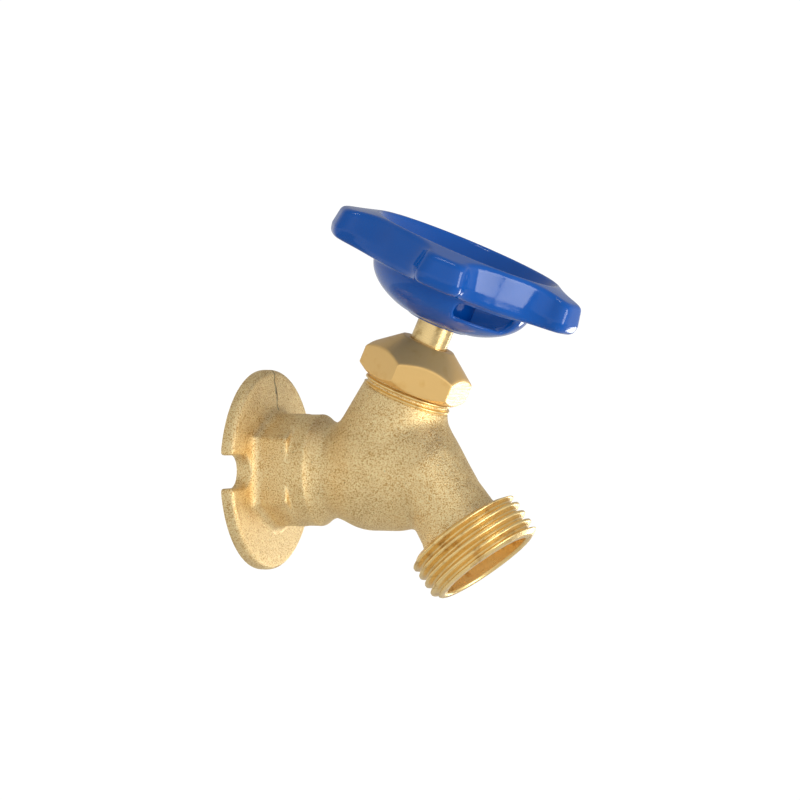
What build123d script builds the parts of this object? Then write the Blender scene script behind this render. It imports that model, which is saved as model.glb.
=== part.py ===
from build123d import *
import os
from math import cos, pi, radians, sin, tan

# Screw-down hose bib with a slotted wall flange and a female pipe inlet.
# Millimetres. The origin is the centre of the flange's back face, where the pipe axis meets the
# wall. +X points away from the wall, +Z is up, and the stem and spout axes lie in the XZ plane.

# ---- wall flange ----
FLANGE_R = 22.4
FLANGE_RIM = 2.9
FLANGE_RISE = 0.9
SLOT_WIDTH = 7.2
SLOT_END_R = 17.5

# ---- inlet: truncated hexagon, then a round collar ----
HEX_FLATS = 24.8
HEX_HEIGHT = 25.0
HEX_END = 11.4
COLLAR_R = 12.4
COLLAR_END = 14.6
WAIST_R = 10.8
WAIST_X = 18.4
INLET_R = 9.3
INLET_DEPTH = 15.0
INLET_CHAMFER = 0.4

# ---- waterway ----
PASSAGE_R = 4.6
PASSAGE_START = (15.0, -2.5)
PASSAGE_END = (25.6, -6.9)
SUMP_R = 4.8
PORT_R = 4.25
SEAT_R = 5.3
SEAT_RAISE = 0.8
OUTLET_R = 4.5

# ---- stem axis: distances along it are counted upwards from the seat ----
STEM_TILT = 24.2
SEAT_X = 27.3
CHAMBER_R = 6.3
CHAMBER_TOP = 8.0
BORE_R = 7.08
BARREL_FOOT_R = 11.9
BARREL_FOOT = 3.0
BARREL_TOP_R = 9.8
BARREL_TOP = 18.0
NECK_R = 10.0
NECK_ROOT_R = 9.35
NECK_PITCH = 1.41
NECK_RINGS = 5
NECK_TOP = 25.8
BOX_R = 8.0
BOX_FLOOR = 22.3
GLOBE_R = 11.8
GLOBE_Z = -1.4
GLOBE_BACK_X = 27.5
GLOBE_FRONT_X = 32.5

# ---- spout: distances along it are counted from the mouth, out of the mouth ----
SPOUT_LEAN = 36.87
MOUTH_X = 53.5
MOUTH_Z = -20.4
MOUTH_R = 10.4
MOUTH_DEPTH = 7.5
HOSE_R = 13.49
HOSE_ROOT_R = 12.15
HOSE_PITCH = 2.209
HOSE_RINGS = 4
SHOULDER_LENGTH = 0.9
SHOULDER_DROP = 1.8
SPOUT_WAIST = 16.6
SPOUT_FLARE = 8.9
SPOUT_LENGTH = 27.0
SPOUT_WAIST_SIZE = (0.2, 7.9, 11.0)
SPOUT_FLARE_SIZE = (0.0, 9.7, 11.6)
SPOUT_ROOT_SIZE = (0.9, 9.2, 11.4)

# ---- stem ----
STEM_R = 4.15
CUP_R = 5.65
CUP_INNER_R = 5.05
CUP_FOOT = 1.6
CUP_TOP = 5.2
WASHER_THICK = 3.2
WASHER_R = 4.95
WASHER_HOLE_R = 2.0
SHANK_R = 4.0
LIFT_R = 7.0
LIFT_ROOT_R = 5.9
LIFT_PITCH = 2.54
LIFT_FOOT = 8.3
LIFT_TOP = 14.2
SHOULDER_R = 5.2
SHOULDER_TOP = 15.0
DRIVE_FOOT = 35.8
DRIVE_TOP = 43.2
DRIVE_SIDE = 5.8
SCREW_R = 1.9
SCREW_DEPTH = 9.0

# ---- packing ----
THRUST_THICK = 0.8
RING_THICK = 1.35
PACKING_R = 7.9
PACKING_HOLE_R = 4.2
FOLLOWER_HOLE_R = 4.25
FOLLOWER_R = 6.5
FOLLOWER_STEP = 0.35

# ---- packing nut ----
NUT_FLATS = 21.9
NUT_TURN = 0.0
NUT_FOOT = 20.2
NUT_TOP = 30.7
NUT_CONE = 3.9
NUT_FACE_R = 6.0
NUT_FOOT_R = 10.7
NUT_FOOT_CHAMFER = 1.3
NUT_BORE_R = 10.08
NUT_BORE_TOP = 26.2
NUT_CAVITY_R = 6.6
NUT_CEILING = 28.4
NUT_HOLE_R = 4.3

# ---- handwheel ----
WHEEL_FOOT = 35.8
SQUARE_HOLE = 5.9
RIM_FOOT = 44.3
RIM_TOP = 53.6
LOBES = 5
LOBE_ANGLE = -77.0
LOBE_TIP_R = 29.9
LOBE_WIDTH = 10.6
LOBE_CORNER = 1.8
LOBE_ROOT_FILLET = 4.5
RIM_R = 22.2
LOBE_SLOPE_START = 20.0
LOBE_FOOT_CORNER = (28.4, 1.5)
LOBE_TIP_RISE = 2.6
LOBE_TOP_CORNER = (28.9, 2.2)
MOUTH_TOP_R = 20.4
BOWL_RISE = ((18.3, 44.3), (17.6, 42.2), (15.8, 40.0))
BOWL_SWEEP = ((15.8, 40.0), (11.6, 37.2), (7.2, 35.8))
INSIDE_SWEEP = ((16.4, 44.3), (13.6, 40.6), (8.6, 38.2))
HUB_R = 6.6
HUB_TOP = 43.6
WINDOWS = 2
WINDOW_ANGLE = -35.3
WINDOW_SPAN = 54.0
WINDOW_FOOT = 40.0
WINDOW_TOP = 43.4
WINDOW_INNER_R = 9.6
WINDOW_OUTER_R = 19.5
HEAD_R = 4.3
HEAD_THICK = 2.3

TILT = radians(STEM_TILT)
LEAN = radians(SPOUT_LEAN)
STEM = Plane(origin=(SEAT_X, 0, 0), x_dir=(cos(TILT), 0, -sin(TILT)), z_dir=(sin(TILT), 0, cos(TILT)))
SPOUT = Plane(origin=(MOUTH_X, 0, MOUTH_Z), x_dir=(cos(LEAN), 0, sin(LEAN)), z_dir=(sin(LEAN), 0, -cos(LEAN)))
INLET = Plane(origin=(0, 0, 0), x_dir=(0, 1, 0), z_dir=(1, 0, 0))


def turned(frame, *outline):
    """A solid of revolution about the frame's own z axis, from (radius, distance) corners."""
    face = make_face(Plane.XZ * Polyline(*outline, close=True))
    return frame * revolve(face, Axis.Z, 360)


def rod(frame, radius, start, end):
    """A plain cylinder along the frame's z axis."""
    return turned(frame, (0, start), (radius, start), (radius, end), (0, end))


def ring(frame, inner, outer, start, end):
    """A plain ring along the frame's z axis."""
    return turned(frame, (inner, start), (outer, start), (outer, end), (inner, end))


def bar(start, end, radius):
    """A cylinder between two points of the XZ plane."""
    first = Vector(start[0], 0, start[1])
    way = Vector(end[0], 0, end[1]) - first
    return rod(Plane(origin=first, z_dir=way), radius, 0, way.length)


def ball(centre, radius):
    """A sphere centred in the XZ plane."""
    return Pos(centre[0], 0, centre[1]) * Sphere(radius)


def capsule(start, end, radius):
    """A round-ended cylinder between two points of the XZ plane, as one solid of revolution."""
    first = Vector(start[0], 0, start[1])
    way = Vector(end[0], 0, end[1]) - first
    slant = radius * cos(pi / 4)
    outline = ThreePointArc((0, -radius), (slant, -slant), (radius, 0))
    outline += Line((radius, 0), (radius, way.length))
    outline += ThreePointArc((radius, way.length), (slant, way.length + slant), (0, way.length + radius))
    outline += Line((0, way.length + radius), (0, -radius))
    return Plane(origin=first, z_dir=way) * revolve(make_face(Plane.XZ * outline), Axis.Z, 360)


def hexagon(frame, flats, start, end, turn=0):
    """A hexagonal prism along the frame's z axis, with a flat across local x when turn is 0."""
    outline = RegularPolygon(flats / 2, 6, major_radius=False, rotation=turn)
    return frame * (Pos(0, 0, start) * extrude(outline, end - start))


def ringed(root_r, crest_r, pitch, rings, start):
    """Outline points of an outside thread drawn as whole rings, with 60 degree flanks."""
    flank = (crest_r - root_r) * tan(radians(30))
    crest = (pitch - 2 * flank) / 2
    points = []
    for count in range(rings):
        foot = start + count * pitch
        points += [(root_r, foot), (crest_r, foot + flank), (crest_r, foot + flank + crest)]
        points += [(root_r, foot + 2 * flank + crest)]
    return points


def helical_groove(frame, root_r, crest_r, pitch, start, end, root_flat):
    """The helical space between the crests of an outside thread, with 60 degree flanks."""
    over = 0.3
    depth = crest_r + over - root_r
    half_root = root_flat / 2
    half_mouth = half_root + depth * tan(radians(30))
    path = Pos(0, 0, start) * Helix(pitch, end - start, root_r)
    outline = Polyline(
        (0, -half_root), (depth, -half_mouth), (depth, half_mouth), (0, half_root), close=True
    )
    section = Plane(origin=(root_r, 0, start), x_dir=(1, 0, 0), z_dir=(0, -1, 0)) * make_face(outline)
    return frame * sweep(section, path, is_frenet=True)


def flange_plate():
    """The wall flange: a round plate that rises a little towards the neck, with two open slots."""
    face_x = FLANGE_RIM + FLANGE_RISE
    plate = turned(
        INLET, (0, 0), (FLANGE_R, 0), (FLANGE_R, FLANGE_RIM), (HEX_FLATS / 2, face_x), (0, face_x)
    )
    for side in (-1, 1):
        length = 2 * (FLANGE_R - SLOT_END_R)
        reach = Box(4 * face_x, length, SLOT_WIDTH)
        plate -= Pos(0, side * (SLOT_END_R + length / 2), 0) * reach
        plate -= rod(Plane(origin=(0, side * SLOT_END_R, 0), z_dir=(1, 0, 0)), SLOT_WIDTH / 2, -1, 2 * face_x)
    return plate


def inlet_neck():
    """The hexagonal wrench length with its top and bottom corners taken off, and the collar."""
    wrench = hexagon(INLET, HEX_FLATS, FLANGE_RIM, HEX_END) & (
        Pos(HEX_END / 2, 0, 0) * Box(2 * HEX_END, 2 * HEX_FLATS, HEX_HEIGHT)
    )
    collar = turned(
        INLET,
        (0, FLANGE_RIM),
        (COLLAR_R, FLANGE_RIM),
        (COLLAR_R, COLLAR_END),
        (WAIST_R, WAIST_X),
        (WAIST_R, GLOBE_BACK_X),
        (0, GLOBE_BACK_X),
    )
    return wrench + collar


def barrel_and_neck():
    """The stem barrel, tapering up to the neck, whose outside thread is drawn as rings."""
    barrel = turned(
        STEM, (0, BARREL_FOOT), (BARREL_FOOT_R, BARREL_FOOT), (BARREL_TOP_R, BARREL_TOP), (0, BARREL_TOP)
    )
    thread = ringed(NECK_ROOT_R, NECK_R, NECK_PITCH, NECK_RINGS, NECK_TOP - NECK_RINGS * NECK_PITCH)
    neck = turned(
        STEM,
        (0, BARREL_TOP - 1),
        (NECK_ROOT_R, BARREL_TOP - 1),
        *thread,
        (0, NECK_TOP),
    )
    return barrel + neck


def globe():
    """The round bottom of the body, as long as the water's way under the seat."""
    return capsule((GLOBE_BACK_X, GLOBE_Z), (GLOBE_FRONT_X, GLOBE_Z), GLOBE_R)


def spout():
    """The oval spout, its turned shoulder, and the hose thread cut into a round nose."""
    stations = (
        (SPOUT_LENGTH, SPOUT_ROOT_SIZE),
        (SPOUT_WAIST, SPOUT_WAIST_SIZE),
        (SPOUT_FLARE, SPOUT_FLARE_SIZE),
    )
    sections = [
        SPOUT * (Pos(rise, 0, -start) * Ellipse(half_height, half_width))
        for start, (rise, half_height, half_width) in stations
    ]
    back = -HOSE_RINGS * HOSE_PITCH
    nose = turned(
        SPOUT,
        (0, back - SHOULDER_LENGTH),
        (HOSE_ROOT_R - SHOULDER_DROP, back - SHOULDER_LENGTH),
        *ringed(HOSE_ROOT_R, HOSE_R, HOSE_PITCH, HOSE_RINGS, back),
        (0, 0),
    )
    return loft(sections) + nose


def waterway():
    """Everything that is hollow in the body, as one solid to be cut away."""
    pipe = turned(
        INLET,
        (0, -1),
        (INLET_R + INLET_CHAMFER + 1, -1),
        (INLET_R, INLET_CHAMFER),
        (INLET_R, INLET_DEPTH),
        (0, INLET_DEPTH + 0.5 * INLET_R),
    )
    under_seat = bar(PASSAGE_START, PASSAGE_END, PASSAGE_R) + ball(PASSAGE_END, SUMP_R)
    shaft = turned(
        STEM,
        (0, -7),
        (PORT_R, -7),
        (PORT_R, 0),
        (SEAT_R, 0),
        (SEAT_R, -SEAT_RAISE),
        (CHAMBER_R, -SEAT_RAISE),
        (CHAMBER_R, CHAMBER_TOP),
        (BORE_R, CHAMBER_TOP + BORE_R - CHAMBER_R),
        (BORE_R, BOX_FLOOR),
        (BOX_R, BOX_FLOOR),
        (BOX_R, NECK_TOP + 1),
        (0, NECK_TOP + 1),
    )
    mouth = turned(
        SPOUT,
        (0, 1),
        (MOUTH_R, 1),
        (MOUTH_R, -MOUTH_DEPTH),
        (OUTLET_R, -MOUTH_DEPTH - 3),
        (OUTLET_R, -SPOUT_LENGTH - 5),
        (0, -SPOUT_LENGTH - 5),
    )
    return pipe + under_seat + shaft + mouth


def make_valve_body():
    """The brass casting."""
    casting = flange_plate() + inlet_neck() + globe() + barrel_and_neck() + spout()
    return casting - waterway()


def make_stem():
    """The stem: washer cup, lift thread, packing length, square drive and tapped ends."""
    body = turned(
        STEM,
        (0, WASHER_THICK),
        (CUP_INNER_R, WASHER_THICK),
        (CUP_INNER_R, CUP_FOOT),
        (CUP_R, CUP_FOOT),
        (CUP_R, CUP_TOP),
        (SHANK_R, CUP_TOP + 0.8),
        (SHANK_R, LIFT_FOOT - 1),
        (LIFT_R, LIFT_FOOT + 1),
        (LIFT_R, LIFT_TOP),
        (SHOULDER_R, LIFT_TOP),
        (SHOULDER_R, SHOULDER_TOP),
        (STEM_R, SHOULDER_TOP + 0.6),
        (STEM_R, DRIVE_FOOT),
        (0, DRIVE_FOOT),
    )
    body -= helical_groove(
        STEM, LIFT_ROOT_R, LIFT_R, LIFT_PITCH, LIFT_FOOT - 1, LIFT_TOP + 1.2, LIFT_PITCH * 0.35
    )
    square = Rectangle(DRIVE_SIDE, DRIVE_SIDE, rotation=LOBE_ANGLE)
    body += STEM * (Pos(0, 0, DRIVE_FOOT - 1) * extrude(square, DRIVE_TOP - DRIVE_FOOT + 1))
    body -= rod(STEM, SCREW_R, 0, WASHER_THICK + SCREW_DEPTH)
    body -= rod(STEM, SCREW_R, DRIVE_TOP - SCREW_DEPTH, DRIVE_TOP + 1)
    return body


def make_washer_screw():
    """The flat-headed screw that holds the seat washer in the stem's cup."""
    body = turned(
        STEM,
        (0, -1.6),
        (2.4, -1.6),
        (3.1, -0.9),
        (3.1, 0),
        (SCREW_R, 0),
        (SCREW_R, WASHER_THICK + SCREW_DEPTH - 1),
        (0, WASHER_THICK + SCREW_DEPTH - 1),
    )
    return body - STEM * (Pos(0, 0, -1.6) * Box(8, 0.9, 1.4))


def make_packing_follower():
    """The gland ring that the nut presses on the packing."""
    foot = NECK_TOP
    return turned(
        STEM,
        (FOLLOWER_HOLE_R, foot),
        (PACKING_R, foot),
        (PACKING_R, foot + FOLLOWER_STEP),
        (FOLLOWER_R, foot + FOLLOWER_STEP),
        (FOLLOWER_R, NUT_CEILING),
        (FOLLOWER_HOLE_R, NUT_CEILING),
    )


def make_packing_nut():
    """The coned hexagonal nut over the neck."""
    cone_foot = NUT_TOP - NUT_CONE
    slope = (NUT_FLATS / 2 - NUT_FACE_R) / NUT_CONE
    corner = NUT_FLATS / 2 / cos(pi / 6)
    envelope = turned(
        STEM,
        (0, NUT_FOOT),
        (NUT_FOOT_R, NUT_FOOT),
        (corner, NUT_FOOT + NUT_FOOT_CHAMFER),
        (corner, cone_foot - (corner - NUT_FLATS / 2) / slope),
        (NUT_FACE_R, NUT_TOP),
        (0, NUT_TOP),
    )
    nut = hexagon(STEM, NUT_FLATS, NUT_FOOT, NUT_TOP, 30 + NUT_TURN) & envelope
    return nut - turned(
        STEM,
        (0, NUT_FOOT - 1),
        (NUT_BORE_R, NUT_FOOT - 1),
        (NUT_BORE_R, NUT_BORE_TOP),
        (NUT_CAVITY_R, NUT_BORE_TOP),
        (NUT_CAVITY_R, NUT_CEILING),
        (NUT_HOLE_R, NUT_CEILING),
        (NUT_HOLE_R, NUT_TOP + 1),
        (0, NUT_TOP + 1),
    )


def lobed_outline():
    """The rim's outline: a circle with wide, flat-ended lobes run into it by fillets."""
    outline = Circle(RIM_R)
    for lobe in range(LOBES):
        bar = Rectangle(LOBE_TIP_R, LOBE_WIDTH, align=(Align.MIN, Align.CENTER))
        bar = fillet(bar.vertices().sort_by(Axis.X)[-2:], LOBE_CORNER)
        outline += Rot(0, 0, LOBE_ANGLE + lobe * 360 / LOBES) * bar
    roots = [corner for corner in outline.vertices() if corner.center().length < RIM_R + 1]
    return fillet(roots, LOBE_ROOT_FILLET)


def make_handwheel():
    """The five-lobed wheel: a lobed rim on a round bowl with windows, and a hub with a square hole."""
    slab = turned(
        STEM,
        (0, RIM_FOOT),
        (LOBE_SLOPE_START, RIM_FOOT),
        (LOBE_FOOT_CORNER[0], RIM_FOOT + LOBE_FOOT_CORNER[1]),
        (LOBE_TIP_R, RIM_FOOT + LOBE_TIP_RISE),
        (LOBE_TOP_CORNER[0], RIM_TOP - LOBE_TOP_CORNER[1]),
        (LOBE_SLOPE_START, RIM_TOP),
        (0, RIM_TOP),
    )
    prism = STEM * (Pos(0, 0, RIM_FOOT - 1) * extrude(lobed_outline(), RIM_TOP - RIM_FOOT + 2))
    rim = slab & prism
    outer = Polyline((0, RIM_TOP), (BOWL_RISE[0][0], RIM_TOP), BOWL_RISE[0])
    outer += ThreePointArc(*BOWL_RISE)
    outer += ThreePointArc(*BOWL_SWEEP)
    outer += Polyline(BOWL_SWEEP[-1], (0, WHEEL_FOOT), (0, RIM_TOP))
    bowl = STEM * revolve(make_face(Plane.XZ * outer), Axis.Z, 360)
    inside = Polyline((0, RIM_TOP + 1), (MOUTH_TOP_R, RIM_TOP + 1), (MOUTH_TOP_R, RIM_TOP), INSIDE_SWEEP[0])
    inside += ThreePointArc(*INSIDE_SWEEP)
    inside += Polyline(
        INSIDE_SWEEP[-1], (HUB_R, INSIDE_SWEEP[-1][1]), (HUB_R, HUB_TOP), (0, HUB_TOP), (0, RIM_TOP + 1)
    )
    wheel = rim + bowl - STEM * revolve(make_face(Plane.XZ * inside), Axis.Z, 360)
    opening = Polyline(
        (WINDOW_INNER_R, WINDOW_FOOT),
        (WINDOW_OUTER_R, WINDOW_FOOT),
        (WINDOW_OUTER_R, WINDOW_TOP),
        (WINDOW_INNER_R, WINDOW_TOP),
        close=True,
    )
    for window in range(WINDOWS):
        start = WINDOW_ANGLE - WINDOW_SPAN / 2 + window * 360 / WINDOWS
        wheel -= STEM * (Rot(0, 0, start) * revolve(make_face(Plane.XZ * opening), Axis.Z, WINDOW_SPAN))
    hole = Rectangle(SQUARE_HOLE, SQUARE_HOLE, rotation=LOBE_ANGLE)
    return wheel - STEM * (Pos(0, 0, WHEEL_FOOT - 1) * extrude(hole, HUB_TOP - WHEEL_FOOT + 2))


def make_handwheel_screw():
    """The round-headed screw that holds the wheel down on the stem."""
    head = make_face(
        Plane.XZ
        * (
            Polyline((0, HUB_TOP), (HEAD_R, HUB_TOP), (HEAD_R, HUB_TOP + 0.5))
            + ThreePointArc(
                (HEAD_R, HUB_TOP + 0.5), (HEAD_R * 0.7, HUB_TOP + 0.8 * HEAD_THICK), (0, HUB_TOP + HEAD_THICK)
            )
            + Line((0, HUB_TOP + HEAD_THICK), (0, HUB_TOP))
        )
    )
    screw = STEM * revolve(head, Axis.Z, 360)
    screw += rod(STEM, SCREW_R, DRIVE_TOP - SCREW_DEPTH + 1, HUB_TOP)
    return screw - STEM * (Pos(0, 0, HUB_TOP + HEAD_THICK) * Box(12, 1.1, 2.4))


LOWER_RING = BOX_FLOOR + THRUST_THICK
UPPER_RING = LOWER_RING + RING_THICK

NODES = {
    "valve_body": make_valve_body(),
    "stem": make_stem(),
    "seat_washer": ring(STEM, WASHER_HOLE_R, WASHER_R, 0, WASHER_THICK),
    "washer_screw": make_washer_screw(),
    "thrust_washer": ring(STEM, PACKING_HOLE_R, PACKING_R, BOX_FLOOR, LOWER_RING),
    "lower_packing_ring": ring(STEM, PACKING_HOLE_R, PACKING_R, LOWER_RING, UPPER_RING),
    "upper_packing_ring": ring(STEM, PACKING_HOLE_R, PACKING_R, UPPER_RING, UPPER_RING + RING_THICK),
    "packing_follower": make_packing_follower(),
    "packing_nut": make_packing_nut(),
    "handwheel": make_handwheel(),
    "handwheel_screw": make_handwheel_screw(),
}

os.makedirs("parts", exist_ok=True)
for name, solid in NODES.items():
    export_step(solid, f"parts/{name}.step")
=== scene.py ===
"""Looks of a flanged brass hose bib with a blue dip-coated handwheel.

Shapes are worked out in millimetres with numpy and stored in metres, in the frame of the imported
model: the origin is the centre of the wall flange's back face, +X leaves the wall and +Z is up.
"""

import logging
import math
from collections.abc import Callable, Sequence
from dataclasses import dataclass
from enum import Enum

import bpy
import numpy as np
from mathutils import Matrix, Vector


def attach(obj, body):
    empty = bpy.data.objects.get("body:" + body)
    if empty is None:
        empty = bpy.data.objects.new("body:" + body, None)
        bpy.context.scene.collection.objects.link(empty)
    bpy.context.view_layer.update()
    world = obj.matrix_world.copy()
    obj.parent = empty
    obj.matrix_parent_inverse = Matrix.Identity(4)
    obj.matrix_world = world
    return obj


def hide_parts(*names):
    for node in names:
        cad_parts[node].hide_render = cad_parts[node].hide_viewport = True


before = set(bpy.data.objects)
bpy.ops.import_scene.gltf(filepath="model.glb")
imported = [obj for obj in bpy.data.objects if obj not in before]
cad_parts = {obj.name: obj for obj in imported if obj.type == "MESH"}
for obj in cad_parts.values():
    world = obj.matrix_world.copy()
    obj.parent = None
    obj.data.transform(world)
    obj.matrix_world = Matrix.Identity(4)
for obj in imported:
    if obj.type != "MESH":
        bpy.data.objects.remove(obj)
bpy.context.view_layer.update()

LOG = logging.getLogger("hose_bib")
MM = 0.001
Field = Callable[[np.ndarray], np.ndarray]


# ---------------------------------------------------------------- directions and places
@dataclass(frozen=True)
class Axis:
    """A local frame: an origin in millimetres and three unit directions."""

    origin: tuple[float, float, float]
    across: tuple[float, float, float]
    along: tuple[float, float, float]

    def side(self) -> np.ndarray:
        """The third direction, square to the other two."""
        return np.cross(np.array(self.along), np.array(self.across))

    def local(self, points: np.ndarray) -> tuple[np.ndarray, np.ndarray, np.ndarray]:
        """Coordinates of points in this frame.

        Args:
            points: positions in millimetres, in the last axis of the array.

        Returns:
            The distances across, sideways and along.
        """
        shifted = points - np.array(self.origin, dtype=points.dtype)
        return tuple(
            shifted @ np.array(way, dtype=points.dtype) for way in (self.across, self.side(), self.along)
        )

    def place(self, across: np.ndarray, side: np.ndarray, along: np.ndarray) -> np.ndarray:
        """Positions in the part's frame of points given in this one.

        Args:
            across: distances across.
            side: distances sideways.
            along: distances along.

        Returns:
            An array of positions in millimetres, with the last axis of length three.
        """
        return (
            np.array(self.origin)
            + across[..., None] * np.array(self.across)
            + side[..., None] * self.side()
            + along[..., None] * np.array(self.along)
        )


STEM_TILT = math.radians(24.2)
SPOUT_LEAN = math.radians(36.87)
STEM = Axis(
    (27.3, 0.0, 0.0),
    (math.cos(STEM_TILT), 0.0, -math.sin(STEM_TILT)),
    (math.sin(STEM_TILT), 0.0, math.cos(STEM_TILT)),
)
SPOUT = Axis(
    (53.5, 0.0, -20.4),
    (math.cos(SPOUT_LEAN), 0.0, math.sin(SPOUT_LEAN)),
    (math.sin(SPOUT_LEAN), 0.0, -math.cos(SPOUT_LEAN)),
)


# ---------------------------------------------------------------- smooth solids as distance fields
def join(first: np.ndarray, second: np.ndarray, blend: float) -> np.ndarray:
    """Union of two distance fields with a fillet.

    The lesser distance, less blend / 4 times the square of how far the two are within blend of
    each other, so the crease between them fills with a radius of about 0.85 blend.

    Args:
        first: one field.
        second: the other field.
        blend: width of the crease that is filled, in millimetres.

    Returns:
        The joined field.
    """
    near = np.maximum(blend - np.abs(first - second), 0.0) / blend
    return np.minimum(first, second) - near * near * blend / 4


def keep(first: np.ndarray, second: np.ndarray, blend: float) -> np.ndarray:
    """What two fields share, with its edge rounded: the join of the two turned inside out."""
    return -join(-first, -second, blend)


def cut(solid: np.ndarray, tool: np.ndarray, blend: float) -> np.ndarray:
    """A solid less a tool, with the edge of the cut rounded."""
    return keep(solid, -tool, blend)


def cone(radius: np.ndarray, along: np.ndarray, foot: tuple, top: tuple, blend: float) -> np.ndarray:
    """Distance to a cone frustum about an axis.

    The wall's distance is the radius less a straight line from foot to top, times the cosine of
    its slope, kept within both ends.

    Args:
        radius: distance of each point from the axis.
        along: distance of each point along the axis.
        foot: radius and distance along of the lower end.
        top: radius and distance along of the upper end.
        blend: rounding of the end edges.

    Returns:
        The field.
    """
    slope = (top[0] - foot[0]) / (top[1] - foot[1])
    wall = (radius - foot[0] - slope * (along - foot[1])) / math.hypot(1.0, slope)
    ends = np.maximum(foot[1] - along, along - top[1])
    return keep(wall, ends, blend)


def capsule(points: np.ndarray, start: Sequence[float], end: Sequence[float], radius: float) -> np.ndarray:
    """Distance to a round-ended rod: that to the nearest point of its middle line, less the radius.

    Args:
        points: positions in millimetres.
        start: one end of the middle line.
        end: its other end.
        radius: the rod's radius.

    Returns:
        The field.
    """
    first = np.array(start, dtype=points.dtype)
    way = np.array(end, dtype=points.dtype) - first
    share = np.clip(((points - first) @ way) / float(way @ way), 0.0, 1.0)
    return np.linalg.norm(points - first - share[..., None] * way, axis=-1) - radius


def oval(
    first: np.ndarray, second: np.ndarray, half_first: np.ndarray, half_second: np.ndarray
) -> np.ndarray:
    """Distance to an ellipse, or to an oval tube whose half sizes change along it.

    With q the length of (first / half_first, second / half_second), the distance is q (q - 1)
    over the length of q's own slope, which is right close to the surface.

    Args:
        first: distances along the first half axis.
        second: distances along the second half axis.
        half_first: first half size at each point.
        half_second: second half size at each point.

    Returns:
        The field.
    """
    reach = np.hypot(first / half_first, second / half_second)
    slope = np.hypot(first / half_first**2, second / half_second**2)
    return reach * (reach - 1.0) / np.maximum(slope, 1e-6)


def field_slope(field: Field, points: np.ndarray, reach: float) -> np.ndarray:
    """Slope of a field at points, from central differences over twice the reach.

    Args:
        field: the distance field.
        points: positions in millimetres.
        reach: half the span of each difference.

    Returns:
        The slope along each axis, in the last axis of the array.
    """
    parts = []
    for way in range(3):
        step = np.zeros(3, dtype=points.dtype)
        step[way] = reach
        parts.append((field(points + step) - field(points - step)) / (2 * reach))
    return np.stack(parts, axis=-1)


def skin_of(
    field: Field, low: Sequence[float], high: Sequence[float], step: float
) -> tuple[np.ndarray, np.ndarray]:
    """Closed surface where a field is zero, as points and four-sided faces.

    Every cell of a cubic grid that the surface crosses gets one point, the mean of the crossings
    on its twelve edges, and every grid edge that it crosses gets one face between the four cells
    round it. The points then slide down the field's slope onto the surface itself.

    Args:
        field: the distance field, negative inside.
        low: lowest corner of the grid in millimetres.
        high: highest corner of the grid.
        step: cell size.

    Returns:
        Points in millimetres and faces.
    """
    ticks = [np.arange(low[k], high[k] + step, step, dtype=np.float32) for k in range(3)]
    values = np.stack(
        [
            field(np.stack(np.meshgrid(tick, ticks[1], ticks[2], indexing="ij"), axis=-1)[0])
            for tick in ticks[0][:, None]
        ]
    )
    inside = values < 0
    shape = [n - 1 for n in values.shape]
    total = np.zeros((*shape, 3), dtype=np.float32)
    count = np.zeros(shape, dtype=np.float32)
    for way in range(3):
        others = [k for k in range(3) if k != way]
        ahead = np.moveaxis(values, way, 0)
        cross = (ahead[:-1] < 0) != (ahead[1:] < 0)
        share = np.where(cross, ahead[:-1] / np.where(cross, ahead[:-1] - ahead[1:], 1), 0)
        cross = np.moveaxis(cross, 0, way)
        share = np.moveaxis(share, 0, way)
        for first in (0, 1):
            for second in (0, 1):
                corner = [slice(None)] * 3
                corner[others[0]] = slice(first, first + shape[others[0]])
                corner[others[1]] = slice(second, second + shape[others[1]])
                here = cross[tuple(corner)]
                count += here
                total[..., way] += np.where(here, share[tuple(corner)], 0)
                total[..., others[0]] += here * first
                total[..., others[1]] += here * second
    active = count > 0
    number = np.full(shape, -1, dtype=np.int64)
    number[active] = np.arange(int(active.sum()))
    cells = np.argwhere(active)
    points = (np.array(low) + step * (cells + total[active] / count[active][:, None])).astype(np.float32)
    faces = []
    for way in range(3):
        first, second = [(way + 1) % 3, (way + 2) % 3]
        ahead = np.moveaxis(inside, way, 0)
        for outward in (True, False):
            crossing = (ahead[:-1] & ~ahead[1:]) if outward else (~ahead[:-1] & ahead[1:])
            edges = np.argwhere(np.moveaxis(crossing, 0, way))
            ring = []
            for back_first, back_second in ((1, 1), (0, 1), (0, 0), (1, 0)):
                cell = edges.copy()
                cell[:, first] -= back_first
                cell[:, second] -= back_second
                ring.append(number[cell[:, 0], cell[:, 1], cell[:, 2]])
            faces.append(np.stack(ring if outward else ring[::-1], axis=-1))
    for _ in range(3):
        slope = field_slope(field, points, 0.05)
        height = field(points)[:, None] / np.maximum((slope**2).sum(-1, keepdims=True), 0.2)
        points = points - np.clip(height * slope, -step / 2, step / 2)
    return points, np.concatenate(faces)


def skin_of_grid(points: np.ndarray, wrap_rows: bool = False, wrap_columns: bool = True) -> tuple:
    """Four-sided faces of a surface given as a grid of points.

    Args:
        points: positions, as rows by columns by three.
        wrap_rows: whether the last row joins the first.
        wrap_columns: whether the last column joins the first.

    Returns:
        Flat points and faces.
    """
    rows, columns = points.shape[:2]
    index = np.arange(rows * columns).reshape(rows, columns)
    if wrap_rows:
        index = np.vstack([index, index[:1]])
    if wrap_columns:
        index = np.hstack([index, index[:, :1]])
    faces = np.stack([index[:-1, :-1], index[:-1, 1:], index[1:, 1:], index[1:, :-1]], axis=-1)
    return points.reshape(-1, 3), faces.reshape(-1, 4)


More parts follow.
